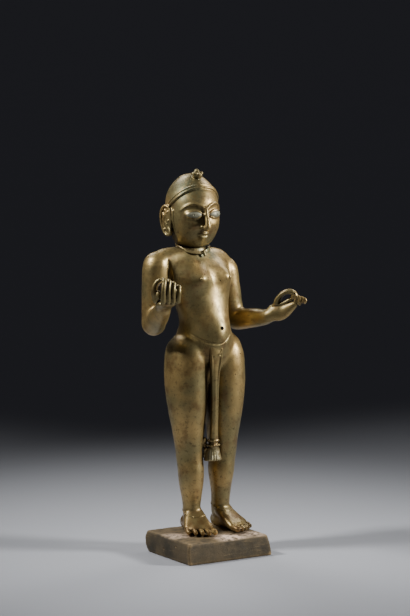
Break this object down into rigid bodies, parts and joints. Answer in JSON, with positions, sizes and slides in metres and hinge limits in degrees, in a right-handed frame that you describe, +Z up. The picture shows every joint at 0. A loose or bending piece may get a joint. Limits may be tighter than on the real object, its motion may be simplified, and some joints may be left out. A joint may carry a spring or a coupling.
{
  "type": "goddess statuette",
  "caption": "Solid-cast brass standing goddess with one hand raised and one held forward, silver eyes and a hanging sash, on a low rectangular plinth.",
  "frame": {"origin": "on the plinth's underside, near its middle", "axes": "+Z up through the figure, -Y the way she faces, +X towards her left hand"},
  "size_m": [0.1279, 0.0794, 0.3],
  "materials": {
    "figure_brass": "worn, softly polished brass with a warm brown patina and green-grey dirt in the recesses",
    "plinth_brass": "dark matte brown patina, rubbed golden along the top edge",
    "eye_silver": null
  },
  "bodies": {
    "root": {"figure": "figure_brass", "plinth": "plinth_brass", "right_eye_inlay": "eye_silver", "left_eye_inlay": "eye_silver"}
  },
  "joints": []
}
